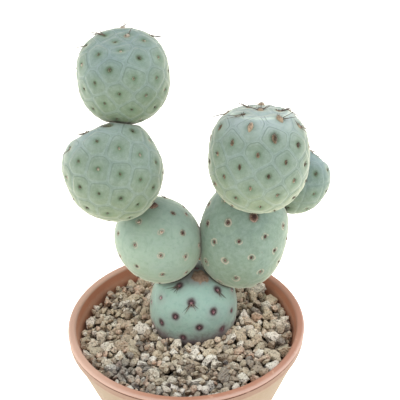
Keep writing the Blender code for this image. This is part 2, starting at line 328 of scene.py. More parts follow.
def skin_material(name, look):
    """Waxy cactus skin. The mesh carries how far each point is from its areole and its cell's edge."""
    wax = {"Specular IOR Level": 0.32, "Sheen Weight": look["bloom"], "Sheen Roughness": 0.35}
    bloom = {"Sheen Tint": (0.97, 0.94, 0.77, 1.0), "Subsurface Weight": look["glow"]}
    flesh = {"Subsurface Radius": (0.9, 1.4, 0.8), "Subsurface Scale": 1.2 * MM}
    paint = Paint(name, {**wax, **bloom, **flesh})
    away, above, dark = paint.carried("areole")
    edge, height, tone = paint.carried("net")
    scar, crown, seam = paint.carried("marks")

    cloud = paint.noise(55.0, detail=4.0)
    mottle = paint.noise(420.0, detail=5.0, rough=0.65)
    speck = paint.noise(2600.0, detail=2.0)
    wobble = paint.noise(300.0, detail=2.0)

    # Green below and bluer above, clouded, with a pale crown that is partly waxy bloom and partly painted
    # light from above, painted shade in a dished crown and a painted highlight along its rim
    flank = (height + (cloud - 0.5) * 0.7).step(-0.8, 0.6)
    cool = paint.noise(34.0, detail=1.0).step(0.48, 0.62)
    dished = crown.step(DISH_RIM, DISH_RIM + 0.03) * look["dished"]
    # Painted highlight: a bright line along the rim of a dished crown, where it would catch the light
    painted_ridge_highlight = (crown + (mottle - 0.5) * 0.02).away_from(DISH_RIM - 0.01).step(0.025, 0.004)
    body = paint.coats(
        paint.blend(flank, look["low"], look["high"]),
        ((cloud - 0.42) * 1.6 + 0.25 * tone, look["patch"]),
        (cool * 0.18, look["cool"]),
        # Pale crown: partly waxy bloom, partly painted light from above
        (crown.step(look["crown_from"], 0.97) * look["crown_pale"], look["crown_colour"]),
        # Painted shade inside a dished crown
        (dished * 0.2, look["pit_colour"]),
        (painted_ridge_highlight * look["dished"] * 0.9, (200, 214, 202)),
        ((mottle - 0.45) * 1.2, look["bloom_colour"]),
        ((0.5 - mottle) * 1.1, look["line"]),
    )

    # The net: a pale band along each cell's edge, with fine dark lines inside it
    edge_here = edge + (wobble - 0.5) * 0.3
    upper = above.step(-2.6, 2.6) * 0.86 + 0.14
    line = edge_here.away_from(LINE_FROM_EDGE).step(0.34, 0.04) * upper
    arc_line = edge_here.away_from(ARC_FROM_EDGE).step(0.3, 0.04) * above.step(0.6, 3.2) * 0.45
    cell_line = edge.step(0.22, 0.02) * 0.35
    lines = (line + arc_line + cell_line).clamped() * (cloud.step(0.3, 0.55) * 0.6 + 0.4) * look["net"]
    band = edge_here.step(0.95, 0.4)

    # Round each areole a broad shade, a soft pit and the close halo, which is wider round a dark areole
    dish = (away + (cloud - 0.5) * 2.5).step(look["dish_size"], 0.8)
    pit = (away + (mottle - 0.5) * 1.4).step(look["pit_size"], 0.3)
    halo_way = (away + above * look["halo_lift"] + (mottle - 0.5) * 0.9) / (dark * 0.6 + 0.75)
    halo = halo_way.step(look["halo_size"], look["halo_size"] * 0.4)
    core = halo_way.step(look["core_size"], look["core_size"] * 0.4) * dark.step(0.5, 0.9)
    ring = (away + (wobble - 0.5) * 1.6).away_from(look["ring_at"]).step(0.5, 0.1) * mottle.step(0.4, 0.55)
    body = paint.coats(
        body,
        (band * 0.18 * look["net"], look["band"]),
        (lines * 0.56, look["line"]),
        (dish * look["dish"], look["dish_colour"]),
        (pit * pit * look["pit"], look["pit_colour"]),
        (halo * (dark * 0.3 + 0.7).clamped() * look["halo"], look["halo_colour"]),
        (core * 0.75, look["core_colour"]),
        (ring * look["ring"], look["ring_colour"]),
    )

    # A tint low down, on the base a purple blush deepened by painted shade underneath; dark scurf at the
    # seams, deepened by painted shade where neighbours meet; corky bark at old scars, and flecks
    # A tint low down; on the base a purple blush, deepened by painted shade on its underside
    lower_tint_way = height + (cloud - 0.5) * 0.5 + (mottle - 0.5) * 0.3
    blush = lower_tint_way.step(look["blush_top"], look["blush_top"] - 0.4)
    # Dark scurf along the seams, deepened into painted shade in the crease where neighbours meet
    seam_scurf_and_shade = (seam + (mottle - 0.5) * 0.3).step(0.5, 0.85)
    corky = (scar + (mottle - 0.5) * 0.6 + (wobble - 0.5) * 0.9).step(0.35, 0.6)
    bark_stops = (0.3, (104, 78, 62)), (0.5, (150, 118, 98)), (0.7, (182, 152, 130))
    fleck = paint.pores(210.0).step(0.13, 0.05) * mottle.step(0.5, 0.62)
    body = paint.coats(
        body,
        (blush * look["blush"], look["blush_colour"]),
        (seam_scurf_and_shade * 0.9, (52, 44, 38)),
        (corky, paint.ramp(mottle, *bark_stops)),
        (fleck * 0.4, (120, 106, 84)),
        ((speck - 0.45) * 0.6, look["bloom_colour"]),
    )

    rough = 0.5 + mottle * 0.2 + corky * 0.3 - halo * 0.06
    relief = 0.55 + mottle * 0.16 + speck * 0.06 - lines * 0.5 - fleck * 0.1 + corky * mottle * 0.8
    return paint.finish(body, rough.clamped(), relief, depth=0.2)


def felt_material(name, dark, middle, pale):
    """Felt of an areole: matted wool, toned by what each cushion carries, which makes its rim paler or
    darker than its middle.
    """
    paint = Paint(name, {"Specular IOR Level": 0.15, "Sheen Weight": 0.4})
    tone = paint.carried_number("tone")
    wool = paint.noise(1300.0, detail=5.0, rough=0.75)
    hue = (wool * 1.6 + tone * 0.7 - 0.65).clamped()
    colour = paint.ramp(hue, (0.15, dark), (0.5, middle), (0.85, pale))
    return paint.finish(colour, 0.78 + wool * 0.2, wool, depth=0.25)


def needle_material(name, root, tip):
    """Horny spine: paler at its root, darker towards its point."""
    paint = Paint(name, {"Specular IOR Level": 0.4})
    along = paint.carried_number("along")
    tone = paint.carried_number("tone")
    streak = paint.noise(1500.0, detail=2.0)
    colour = paint.blend((along + (streak - 0.5) * 0.5).step(0.05, 0.75), root, tip)
    colour = paint.blend(tone * 0.35, colour, (190, 170, 150))
    return paint.finish(colour, 0.4 + streak * 0.25, streak, depth=0.05)


def pumice_material():
    """Pumice: each grain of its own tone, full of dark pores, with a pale coat on top that is partly dust
    and partly painted light from above, painted shade on its underside, and painted light that makes it
    paler at the back and darker at the front.
    """
    paint = Paint("pumice", {"Specular IOR Level": 0.2})
    across, ahead, _ = paint.place_parts()
    tone = paint.carried_number("tone")
    cloud = paint.noise(800.0, detail=5.0, rough=0.7)
    fine = paint.noise(3800.0, detail=3.0)
    hue = (tone + (cloud - 0.5) * 0.4).clamped()
    stone = paint.ramp(
        hue,
        (0.0, (84, 84, 90)),
        (0.06, (124, 104, 86)),
        (0.2, (168, 146, 122)),
        (0.36, (204, 188, 160)),
        (0.52, (184, 172, 150)),
        (0.64, (206, 168, 144)),
        (0.76, (214, 205, 184)),
        (0.9, (238, 233, 222)),
    )
    # Painted light: the grit is paler towards the back
    far = (ahead + (cloud - 0.5) * 30.0).step(-34.0, 6.0)
    stone = paint.blend(far * 0.15, stone, (214, 194, 170))
    stone = paint.shaded(far, stone, (1.18, 1.13, 1.1))
    # Painted shade: the grit is darker towards the front
    near = (ahead + (cloud - 0.5) * 20.0).step(-20.0, -44.0)
    stone = paint.shaded(near, stone, (0.78, 0.77, 0.78))
    sideways, nearer = across - SLATE_SPOT[0], ahead - SLATE_SPOT[1]
    slate = (sideways * sideways + nearer * nearer).step(SLATE_REACH**2, 0.1 * SLATE_REACH**2)
    pits = paint.pores(1000.0).step(0.4, 0.15) * cloud.step(0.34, 0.56)
    rust = paint.noise(240.0, detail=2.0).step(0.62, 0.74)
    # Pale coat on the grains' tops: partly dust, partly painted light from above
    pale_coat = paint.facing_up().step(0.25, 0.95) * fine.step(0.3, 0.6)
    # Painted shade on the grains' undersides
    under = paint.facing_up().step(0.45, -0.45)
    stone = paint.coats(
        stone,
        (slate * 0.6, (92, 94, 104)),
        (pits * 0.85, (78, 64, 50)),
        (cloud.step(0.52, 0.34) * 0.55, (112, 94, 76)),
        (rust * 0.4, (176, 126, 92)),
        (pale_coat * 0.4, (234, 226, 208)),
        (under * 0.7, (88, 70, 54)),
    )
    relief = 0.6 + cloud * 0.6 + fine * 0.15 - pits * 0.6
    return paint.finish(stone, 0.86 + fine * 0.12, relief, depth=0.8)


def bed_material():
    """Fines and shade between the grains."""
    paint = Paint("grit_fines", {"Specular IOR Level": 0.1})
    cloud = paint.noise(900.0, detail=5.0, rough=0.7)
    stops = (0.35, (40, 30, 24)), (0.55, (78, 60, 48)), (0.75, (130, 108, 88))
    return paint.finish(paint.ramp(cloud, *stops), 0.9 + cloud * 0.08, cloud, depth=0.6)


def pot_material():
    """Moulded terracotta-coloured plastic, paler and greyer below the lip, with scuffs and mineral bloom, a
    painted highlight on the lip's outer edge, painted shade in its groove and painted light on its left and
    right sides.
    """
    paint = Paint("terracotta_plastic", {"Specular IOR Level": 0.38})
    across, ahead, height = paint.place_parts()
    cloud = paint.noise(38.0, detail=4.0)
    mottle = paint.noise(520.0, detail=4.0, rough=0.6)
    streak = paint.noise(70.0, detail=3.0, squash=(1.0, 1.0, 0.12))
    fine = paint.noise(3000.0, detail=2.0)
    out = paint.radius() * (1 / MM)
    slope = (RIM_RADIUS - FOOT_RADIUS) / POT_HEIGHT
    outer = (out - height * slope).step(FOOT_RADIUS - 3.0, FOOT_RADIUS - 1.5)
    lip = height.step(POT_HEIGHT - 1.8, POT_HEIGHT - 0.6)
    outside = (outer + lip).clamped()

    # The inside is shaded low down and catches the light at its left
    inner = paint.blend(height.step(63.0, 70.0), (134, 84, 64), (194, 130, 100))
    inner_lit = across.step(-18.0, -50.0) * ahead.step(14.0, -16.0)

    # Chalk; a painted highlight on the lip's outer edge and painted shade in its groove; painted light on
    # the left and right sides; and below the lip a paler, greyer wall and a tide
    chalk = streak.step(0.5, 0.75) * height.step(30.0, 72.0) * outer
    # Painted highlight along the lip's outer edge
    painted_lip_edge_highlight = (out + (mottle - 0.5) * 0.6).step(RIM_RADIUS - 1.6, RIM_RADIUS - 0.2) * lip
    # Painted light on the left and right sides of the outside
    painted_light_left = across.step(-8.0, -50.0) * outside
    painted_light_right = across.step(10.0, 48.0) * outside
    below_lip = POT_HEIGHT - LIP_DEPTH
    groove_at = POT_HEIGHT - LIP_GROOVE[0]
    band = outer * height.step(groove_at + 0.1, groove_at - 0.5)
    # A paler, greyer wall below the lip
    paler_wall = outer * (height + (streak - 0.5) * 3.0).step(below_lip + 1.6, below_lip - 0.4)
    faint = outer * height.away_from(below_lip + 1.4).step(0.4, 0.1)
    # Painted shade in the lip's groove
    groove = outer * (height + (mottle - 0.5) * 0.3).away_from(groove_at).step(0.6, 0.2)
    tide = (height + (mottle - 0.5) * 3.0).away_from(below_lip).step(2.2, 0.4)
    scuff = paint.noise(240.0, detail=4.0, squash=(1.0, 1.0, 5.0)).step(0.66, 0.72)
    colour = paint.coats(
        inner,
        (inner_lit * 0.95, (232, 172, 142)),
        (outside, (176, 124, 100)),
        (cloud.step(0.3, 0.7) * 0.4, (160, 100, 80)),
        ((mottle - 0.35) * 0.3, (188, 134, 112)),
        (chalk * 0.25, (206, 172, 152)),
        (painted_lip_edge_highlight * 0.6, (206, 180, 168)),
        (painted_light_left * 0.65, (218, 182, 162)),
        (painted_light_right * 0.15, (214, 176, 160)),
        (band * 0.85, (156, 127, 108)),
        (paler_wall * 0.85, (158, 137, 112)),
        (faint * 0.3, (120, 86, 70)),
        (groove * 0.85, (96, 62, 48)),
        (tide * 0.14, (204, 178, 156)),
        (scuff * 0.3, (220, 184, 160)),
    )
    rough = 0.48 + mottle * 0.18 + chalk * 0.15
    relief = 0.5 + fine * 0.25 + mottle * 0.25 - scuff * 0.2
    return paint.finish(colour, rough, relief, depth=0.07)


def root_material():
    """Corky root bark, ringed and dusty with grit."""
    paint = Paint("root_bark", {"Specular IOR Level": 0.15})
    bark = paint.noise(500.0, detail=5.0, rough=0.7, squash=(1.0, 1.0, 2.5))
    pale_coat = paint.noise(160.0, detail=3.0)
    stops = (0.3, (84, 60, 42)), (0.5, (140, 106, 78)), (0.7, (186, 158, 126))
    colour = paint.ramp(bark, *stops)
    colour = paint.blend(pale_coat.step(0.5, 0.7) * 0.5, colour, (196, 176, 148))
    return paint.finish(colour, 0.82 + bark * 0.15, bark, depth=0.5)


def floor_material():
    """White acrylic of a light table: it glows a little, so that nothing casts a hard shadow on it."""
    glow = {"Emission Color": (1.0, 0.965, 0.84, 1.0), "Emission Strength": FLOOR_GLOW}
    paint = Paint("pale_floor", {"Specular IOR Level": 0.1, **glow})
    cloud = paint.noise(6.0, detail=3.0)
    colour = paint.blend(cloud, (246, 246, 245), (251, 251, 250))
    return paint.finish(colour, 0.8 + cloud * 0.1)


# The segments' form


class Segment:
    """One round stem segment, as in the frame: an egg-shaped body, its areoles on a golden-angle spiral.

    The body is a superellipse of one power above its widest part, the shoulder, and another below it, the
    taper. It leans to the right and away from the viewer. The first areole is a part of a step from its
    crown, at the angle spin, and the spiral turns by its hand, 1 or -1.
    """

    def __init__(self, name, centre, width, height, powers, lean, areoles, first, spin, hand):
        self.name = name
        self.centre = np.array(centre, float)
        self.radius = width / 2
        self.half_height = height / 2
        self.shoulder, self.taper = powers
        axis = Vector((math.sin(math.radians(lean[0])), math.sin(math.radians(lean[1])), 0))
        axis.z = math.sqrt(1 - axis.length_squared)
        self.turn = np.array(Vector((0, 0, 1)).rotation_difference(axis).to_matrix())
        number = np.arange(int(math.ceil(areoles - first)))
        heights = 1 - 2 * (number + first) / areoles
        angles = math.radians(spin) + hand * number * GOLDEN_TURN
        across = np.sqrt(1 - heights**2)
        self.areoles = np.stack([across * np.cos(angles), across * np.sin(angles), heights], axis=1)

    def grown(self, name, step, *shape):
        """A segment that grows from this one, its centre a step away from this centre."""
        return Segment(name, self.centre + np.array(step), *shape)

    def reach(self, ways):
        """From the centre to the plain skin along unit vectors in the segment's own frame."""
        blend = 0.5 + 0.5 * np.tanh(WAIST * ways[:, 2])
        power = self.taper + (self.shoulder - self.taper) * blend
        around = np.hypot(ways[:, 0], ways[:, 1]) / self.radius
        along = np.abs(ways[:, 2]) / self.half_height
        return (around**power + along**power) ** (-1 / power)

    def world(self, ways, out=0.0):
        """Points of the skin along unit vectors in the segment's own frame, and how far out from it."""
        return self.centre + (ways * (self.reach(ways) + out)[:, None]) @ self.turn.T

    def reach_towards(self, point):
        """From the centre to the plain skin on the way to a point."""
        way = (np.array(point) - self.centre) @ self.turn
        return float(self.reach(way[None] / np.linalg.norm(way))[0])

    def gap(self, points):
        """How far points lie outside the plain skin."""
        ways = (points - self.centre) @ self.turn
        apart = np.linalg.norm(ways, axis=1)
        return apart - self.reach(ways / apart[:, None])


BASE = Segment(
    "base_segment", (3.9, 11.2, 74.5), 45.6, 47.5, (2.4, 2.2), (3, 0), 54, 0.1, 61, -1
)
LEFT_LOW = BASE.grown(
    "left_low_segment", (-16.8, 4.9, 39.5), 45.8, 41.7, (1.95, 2.05), (41, 2), 43.8, 0.09, 310, 1
)
RIGHT_LOW = BASE.grown(
    "right_low_segment", (25.7, 7.0, 39.1), 44.6, 53.7, (2.45, 2.25), (13, 16), 52.5, 0.19, 335, 1
)
LEFT_MID = LEFT_LOW.grown(
    "left_mid_segment", (-19.4, -3.3, 40.6), 46.6, 47.3, (2.7, 1.9), (-24, 23), 59, 0.2, 343, 1
)
LEFT_TOP = LEFT_MID.grown(
    "left_top_segment", (5.7, 19.2, 40.1), 43.6, 42.3, (2.9, 2.2), (-2, -12), 63, 0.15, 191, -1
)
RIGHT_TOP = RIGHT_LOW.grown(
    "right_top_segment", (6.4, -7.8, 47.6), 47.7, 51, (2.55, 2.15), (1, 11), 65, 0.15, 271, -1
)
RIGHT_BACK = RIGHT_LOW.grown(
    "right_back_segment", (27.9, 18.1, 21.3), 34.1, 35.3, (2.45, 2), (38, 20), 34, 0.3, 120, 1
)
SEGMENTS = [BASE, LEFT_LOW, RIGHT_LOW, LEFT_MID, LEFT_TOP, RIGHT_TOP, RIGHT_BACK]

# Long spines by areole, counted from the crown down: how far each is turned from the way to the crown
SPINES = {
    BASE: {
        4: (-135, -155, 178, 165),
        6: (165, 178, 190, -160),
        7: (-150,),
        9: (-165, -140, 118, 150),
        10: (-150, 160),
        13: (180, 130),
        15: (-130, 170),
        16: (150,),
    },
    LEFT_LOW: {4: (100, 80), 6: (180, 120), 9: (-150, 160)},
    RIGHT_LOW: {9: (170, -120), 11: (150,), 14: (180,)},
    LEFT_MID: {
        2: (-90, -115, -150, 180, 160, 120),
        5: (-80, -95),
        7: (-165,),
        9: (180, 140),
        11: (-150,),
        14: (165,),
    },
    LEFT_TOP: {
        1: (170,),
        3: (160, -170, 140),
        6: (150, -160, 180),
        8: (175,),
        9: (160, -160, 180),
        11: (180, 140),
        14: (-150, 170),
        16: (160,),
    },
    RIGHT_TOP: {
        0: (0, 90, -90, 60),
        1: (150, -140, 180),
        2: (170, 140, -150, 120),
        3: (150, 178, -160, 125),
        4: (180, -150, 140),
        5: (85, 115),
        6: (160, -170, 140),
        7: (170, -140, -100, 120),
        9: (150, -170, 100),
        10: (-175, 150, 110, -60),
        12: (180,),
        14: (-150, 165),
    },
    RIGHT_BACK: {0: (0, 120, -120), 1: (160, -150), 2: (180, 140), 3: (-160,), 5: (170, -140)},
}

# Areoles with much wool, and those with a wide dark halo
WOOLLY_AREOLES = {
    BASE: (),
    LEFT_LOW: (7,),
    RIGHT_LOW: (10,),
    LEFT_MID: (2, 5, 9),
    LEFT_TOP: (1, 6, 11),
    RIGHT_TOP: (0, 4, 5, 7, 8, 13),
    RIGHT_BACK: (0, 2),
}
DARK_AREOLES = {
    BASE: (4, 6, 9, 10, 14, 17, 22, 25, 27, 30),
    LEFT_LOW: (2, 5, 7),
    RIGHT_LOW: (9, 10, 12, 15, 20),
    LEFT_MID: (5, 13, 28, 41, 44, 47),
    LEFT_TOP: (7, 10),
    RIGHT_TOP: (13, 18, 34),
    RIGHT_BACK: (9,),
}


def surface(name, points, faces, material, slot, smooth=True, **carried):
    """A mesh piece from points in millimetres, with what its points carry for the shaders."""
    mesh = bpy.data.meshes.new(name)
    mesh.from_pydata((np.asarray(points) * MM).tolist(), [], np.asarray(faces).tolist())
    for label, values in carried.items():
        values = np.asarray(values, np.float32)
        kind = "FLOAT_VECTOR" if values.ndim == 2 else "FLOAT"
        data = mesh.attributes.new(label, kind, "POINT").data
        data.foreach_set("vector" if values.ndim == 2 else "value", values.ravel())
    mesh.materials.append(material)
    mesh.polygons.foreach_set("use_smooth", [smooth] * len(mesh.polygons))
    mesh.update()
    obj = bpy.data.objects.new(name, mesh)
    bpy.context.scene.collection.objects.link(obj)
    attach(obj, "root")
    return obj


def ball(subdivisions):
    """The points and triangles of an icosphere of radius 1."""
    bm = bmesh.new()
    bmesh.ops.create_icosphere(bm, subdivisions=subdivisions, radius=1)
    points = np.array([vert.co for vert in bm.verts])
    faces = np.array([[vert.index for vert in face.verts] for face in bm.faces])
    bm.free()
    return points / np.linalg.norm(points, axis=1)[:, None], faces


def cell_measures(segment, ways):
    """For each way: its nearest areole's number, and in millimetres how far it is from that areole and
    from the edge of its cell, and how far above and beside the areole it lies."""
    areoles = segment.areoles
    size = segment.radius
    apart = np.linalg.norm(areoles[:, None] - areoles[None], axis=2)
    np.fill_diagonal(apart, 1)
    toward = ways @ areoles.T
    nearest = toward.argmax(axis=1)
    best = toward[np.arange(len(ways)), nearest]
    edges = (best[:, None] - toward) / apart[nearest]
    no_edge = 9
    edges[np.arange(len(ways)), nearest] = no_edge
    edge = -np.log(np.exp(-CELL_ROUNDING * edges).sum(axis=1)) / CELL_ROUNDING
    mine = areoles[nearest]
    crown = np.array([0, 0, 1.0])
    up = crown - mine * mine[:, 2:3]
    up /= np.linalg.norm(up, axis=1)[:, None]
    side = np.cross(up, mine)
    away = np.arccos(np.clip(best, -1, 1)) * size
    above = (ways * up).sum(axis=1) * size
    beside = (ways * side).sum(axis=1) * size
    return nearest, away, np.maximum(edge, 0) * size, above, beside


def contacts(segment):
    """Where neighbours press flat against this segment: each with its contact's middle and normal."""
    found = []
    for other in SEGMENTS:
        if other is segment:
            continue
        step = other.centre - segment.centre
        far = np.linalg.norm(step)
        normal = step / far
        mine = segment.reach_towards(other.centre)
        slack = far - mine - other.reach_towards(segment.centre)
        if slack <= CONTACT_SLACK:
            share = 0.5 + LOWER_YIELDS * max(-1, min(1, 2 * normal[2]))
            found.append((other, segment.centre + normal * (mine + slack * share + SKIN_PRESS), normal))
    return found


def dish_depth(look, crown):
    """How deep a dished crown lies at points this far towards the crown."""
    part = np.clip((crown - DISH_RIM) / DISH_SLOPE, 0, 1)
    return look["crown_dip"] * part * part * (3 - 2 * part)


def darkness(segment, rng):
    """How dark each areole is: up to 0.4, 1 for a dark one, and more where it is also woolly."""
    shades = []
    for number in range(len(segment.areoles)):
        shade = rng.uniform(0.0, 0.4)
        if number in DARK_AREOLES[segment]:
            shade = 2.0 if number in WOOLLY_AREOLES[segment] else 1.0
        shades.append(shade)
    return shades


def make_skin(segment, look, material, slot, rng):
    """The segment's skin: low tubercles between the net's grooves, each with its pit, and flat contacts."""
    ways, faces = ball(7)
    nearest, away, edge, above, beside = cell_measures(segment, ways)
    tone = np.array([rng.random() for _ in segment.areoles])[nearest]
    dark = np.array(darkness(segment, rng))[nearest]
    rise = look["tubercle"] * (1 - np.exp(-edge / TUBERCLE_EDGE))
    groove = look["groove"] * np.exp(-((edge / GROOVE_WIDTH) ** 2))
    pit = look["pit_depth"] * np.exp(-((away / look["pit_width"]) ** 2))
    drop, tall, wide = CHIN
    chin = look["chin"] * np.exp(-(((above + drop) / tall) ** 2) - (beside / wide) ** 2)
    crown = ways[:, 2]
    points = segment.world(ways, rise - groove - pit + chin - dish_depth(look, crown) - SKIN_SUNK)
    seam = np.zeros(len(points))
    for other, middle, normal in contacts(segment):
        beyond = (points - middle) @ normal
        points -= np.maximum(beyond, 0)[:, None] * normal
        seam = np.maximum(seam, np.exp(-np.maximum(other.gap(points), 0) / SEAM_REACH))
    if segment is BASE:
        points[:, 2] = np.maximum(points[:, 2], NECK_TOP)
    scar = np.zeros(len(points))
    for spot, size in look["scars"]:
        apart = np.linalg.norm(points - np.array(spot), axis=1)
        scar = np.maximum(scar, np.exp(-((apart / size) ** 2)))
    height = (points[:, 2] - segment.centre[2]) / segment.half_height
    skin = surface(
        segment.name.replace("_segment", "_skin"),
        points,
        faces,
        material,
        slot,
        areole=np.stack([away, above, dark], axis=1),
        net=np.stack([edge, height, tone], axis=1),
        marks=np.stack([scar, crown, seam], axis=1),
    )
    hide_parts(segment.name)


def areole_seats(segment, look):
    """For each areole that shows: its number, and its seat, which is its place on the skin and its side,
    up and outward directions."""
    touching = contacts(segment)
    seats = []
    step = 0.02
    for number, way in enumerate(segment.areoles):
        up = np.array([0, 0, 1.0]) - way * way[2]
        up /= np.linalg.norm(up)
        side = np.cross(up, way)
        near = np.array([way, way + step * side, way + step * up])
        near /= np.linalg.norm(near, axis=1)[:, None]
        middle, beside, above = segment.world(near)
        out = np.cross(beside - middle, above - middle)
        out /= np.linalg.norm(out)
        up_here = above - middle
        up_here -= out * (up_here @ out)
        up_here /= np.linalg.norm(up_here)
        place = middle - out * (look["pit_depth"] + SKIN_SUNK - look["tubercle"] + dish_depth(look, way[2]))
        pressed = any((place - spot) @ normal > -CONTACT_MARGIN for _, spot, normal in touching)
        scarred = any(math.dist(place, spot) < SCAR_BARE * size for spot, size in look["scars"])
        buried = segment is BASE and place[2] < GRAIN_CEILING - GRIT_COVERS
        if pressed or scarred or buried:
            continue
        seats.append((number, (place, np.cross(up_here, out), up_here, out)))
    return seats


def is_clear(point, owner):
    """Whether a point of one segment's spine stays outside all the other segments."""
    for other in SEGMENTS:
        room = other.reach_towards(point) + SPINE_CLEARANCE
        if other is not owner and np.linalg.norm(point - other.centre) < room:
            return False
    return True


class Pile:
    """Many small copies gathered into one mesh."""

    def __init__(self):
        self.points = []
        self.faces = []
        self.carried = {}
        self.count = 0

    def add(self, points, faces, **carried):
        """Adds a copy. What its points carry is one value for all of them, or one for each."""
        self.points.append(points)
        self.faces.append(np.asarray(faces) + self.count)
        self.count += len(points)
        for label, values in carried.items():
            self.carried.setdefault(label, []).append(np.broadcast_to(values, len(points)))

    def piece(self, name, material, slot, smooth=True):
        carried = {label: np.concatenate(values) for label, values in self.carried.items()}
        points = np.concatenate(self.points)
        return surface(name, points, np.concatenate(self.faces), material, slot, smooth, **carried)


def needle(root, way, length, thick, bend=0.0, rings=4, sides=4):
    """A tapering, slightly bent needle: points, faces and how far along each point is."""
    way = way / np.linalg.norm(way)
    side = np.cross(way, ASKEW)
    side /= np.linalg.norm(side)
    other = np.cross(way, side)
    points = []
    along = []
    for ring in range(rings):
        part = ring / rings
        middle = root + way * length * part + bend * length * part * part
        for corner in range(sides):
            angle = math.tau * corner / sides
            radius = thick * (1 - part) ** 0.7
            points.append(middle + radius * (math.cos(angle) * side + math.sin(angle) * other))
            along.append(part)
    points.append(root + way * length + bend * length)
    along.append(1.0)
    tip = len(points) - 1
    faces = []
    for ring in range(rings - 1):
        for corner in range(sides):
            here = ring * sides + corner
            beside = ring * sides + (corner + 1) % sides
            faces.append([here, beside, beside + sides])
            faces.append([here, beside + sides, here + sides])
    last = (rings - 1) * sides
    faces += [[last + corner, last + (corner + 1) % sides, tip] for corner in range(sides)]
    faces += [[0, corner + 1, corner] for corner in range(1, sides - 1)]
    return np.array(points), np.array(faces), np.array(along)


def add_tuft(bristles, seat, size, look, rng):
    """A tuft of short stiff bristles out of an areole."""
    place, side, up, out = seat
    wide, tall, deep = size
    raised, narrower, high = TUFT
    for _ in range(look["bristles"]):
        spot = place + side * rng.gauss(0, wide / narrower) + up * rng.gauss(tall * raised, tall / narrower)
        spot = spot + out * deep * high
        way = out + side * rng.gauss(0, 0.5) + up * rng.gauss(look["bristle_lift"], 0.4)
        length = rng.uniform(0.5, 1.0) * look["bristle_length"]
        points, faces, along = needle(spot, way, length, BRISTLE_THICK, rings=1, sides=3)
        bristles.add(points, faces, along=along, tone=rng.random())


def add_spines(spines, segment, seat, look, turns, rng):
    """Spines that lean out of an areole, each turned from the way to the crown, clear of the neighbours."""
    place, side, up, out = seat
    for turn in turns:
        angle = math.radians(turn + rng.gauss(0, 7))
        across = up * math.cos(angle) + side * math.sin(angle)
        far = rng.uniform(*look["spine_length"])
        for tilt in range(look["spine_tilt"], 90, SPINE_RAISE):
            lean = math.radians(tilt + rng.gauss(0, 4))
            way = across * math.cos(lean) + out * math.sin(lean)
            if is_clear(place + way * far, segment) and is_clear(place + way * far / 2, segment):
                bend = side * rng.gauss(0, 0.07) - out * rng.uniform(0.0, 0.12)
                thick = look["spine_thick"] * rng.uniform(0.8, 1.15)
                points, faces, along = needle(place, way, far, thick, bend)
                spines.add(points, faces, along=along, tone=rng.random())
                break


def make_areoles(segment, look, felt, horn, slot, rng):
    """The felt cushions, their tufts of short bristles, and the few long spines."""
    cushions, bristles, spines = Pile(), Pile(), Pile()
    ways, faces = ball(2)
    for number, seat in areole_seats(segment, look):
        is_woolly = number in WOOLLY_AREOLES[segment]
        is_dark = number in DARK_AREOLES[segment]
        scale = (look["wool"] if is_woolly else 1.0) * (1 - look["fade"] * number / len(segment.areoles))
        lightest = 0.25 if is_dark else 1.0
        tone = rng.uniform(0.7 if is_woolly else 0.0, 1.0) * lightest
        size = [part * scale * rng.uniform(0.85, 1.15) for part in look["cushion"]]
        size[2] *= WOOL_HEIGHT if is_woolly else 1.0
        lump = 1 + 0.12 * np.sin(ways @ np.array([7.0, 5.0, 3.0]) + 6 * tone)
        local = ways * np.array(size) / [2, 2, 1] * lump[:, None]
        rim = np.hypot(ways[:, 0], ways[:, 1]) - 0.6
        cushions.add(seat[0] + local @ np.array(seat[1:]), faces, tone=tone + look["pale_rim"] * rim)
        for _ in range(1 + 2 * is_woolly + is_dark):
            add_tuft(bristles, seat, size, look, rng)
        add_spines(spines, segment, seat, look, SPINES[segment].get(number, ()), rng)
    label = segment.name.replace("_segment", "")
    cushions.piece(label + "_areoles", felt, slot)
    bristles.piece(label + "_bristles", horn, slot, smooth=False)
    if spines.count:
        spines.piece(label + "_spines", horn, slot)


# Pot and grit


def arc(centre, radius, start, end, steps):
    """Points of an arc in a profile, from one angle to another."""
    points = []
    for step in range(steps + 1):
        angle = math.radians(start + (end - start) * step / steps)
        points.append((centre[0] + radius * math.cos(angle), centre[1] + radius * math.sin(angle)))
    return points


def inner_wall_radius(height):
    """How far the inside of the pot's wall is from its axis."""
    low = FOOT_RADIUS - WALL
    high = RIM_RADIUS - LIP_WIDTH - WALL_INSET
    return low + (high - low) * (height - FLOOR) / (POT_HEIGHT - LIP_DEPTH - FLOOR)


def turned(name, profile, sides, material):
    """A turned piece from a profile of (radius, height) points that starts and ends on the axis."""
    mesh = bpy.data.meshes.new(name)
    points = [(radius * MM, 0, height * MM) for radius, height in profile]
    mesh.from_pydata(points, [(step, step + 1) for step in range(len(points) - 1)], [])
    obj = bpy.data.objects.new(name, mesh)
    bpy.context.scene.collection.objects.link(obj)
    screw = obj.modifiers.new("Screw", "SCREW")
    screw.steps = sides
    screw.render_steps = sides
    screw.use_merge_vertices = True
    screw.merge_threshold = MERGED
    apply_modifiers(obj)
    obj.data.materials.append(material)
    obj.data.shade_smooth()
    obj.data.set_sharp_from_angle(angle=math.radians(SHARP_EDGE))
    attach(obj, "root")
    return obj


def apply_modifiers(obj):
    """Turns what an object's modifiers make of its mesh into its own mesh."""
    graph = bpy.context.evaluated_depsgraph_get()
    mesh = bpy.data.meshes.new_from_object(obj.evaluated_get(graph))
    obj.modifiers.clear()
    obj.data = mesh


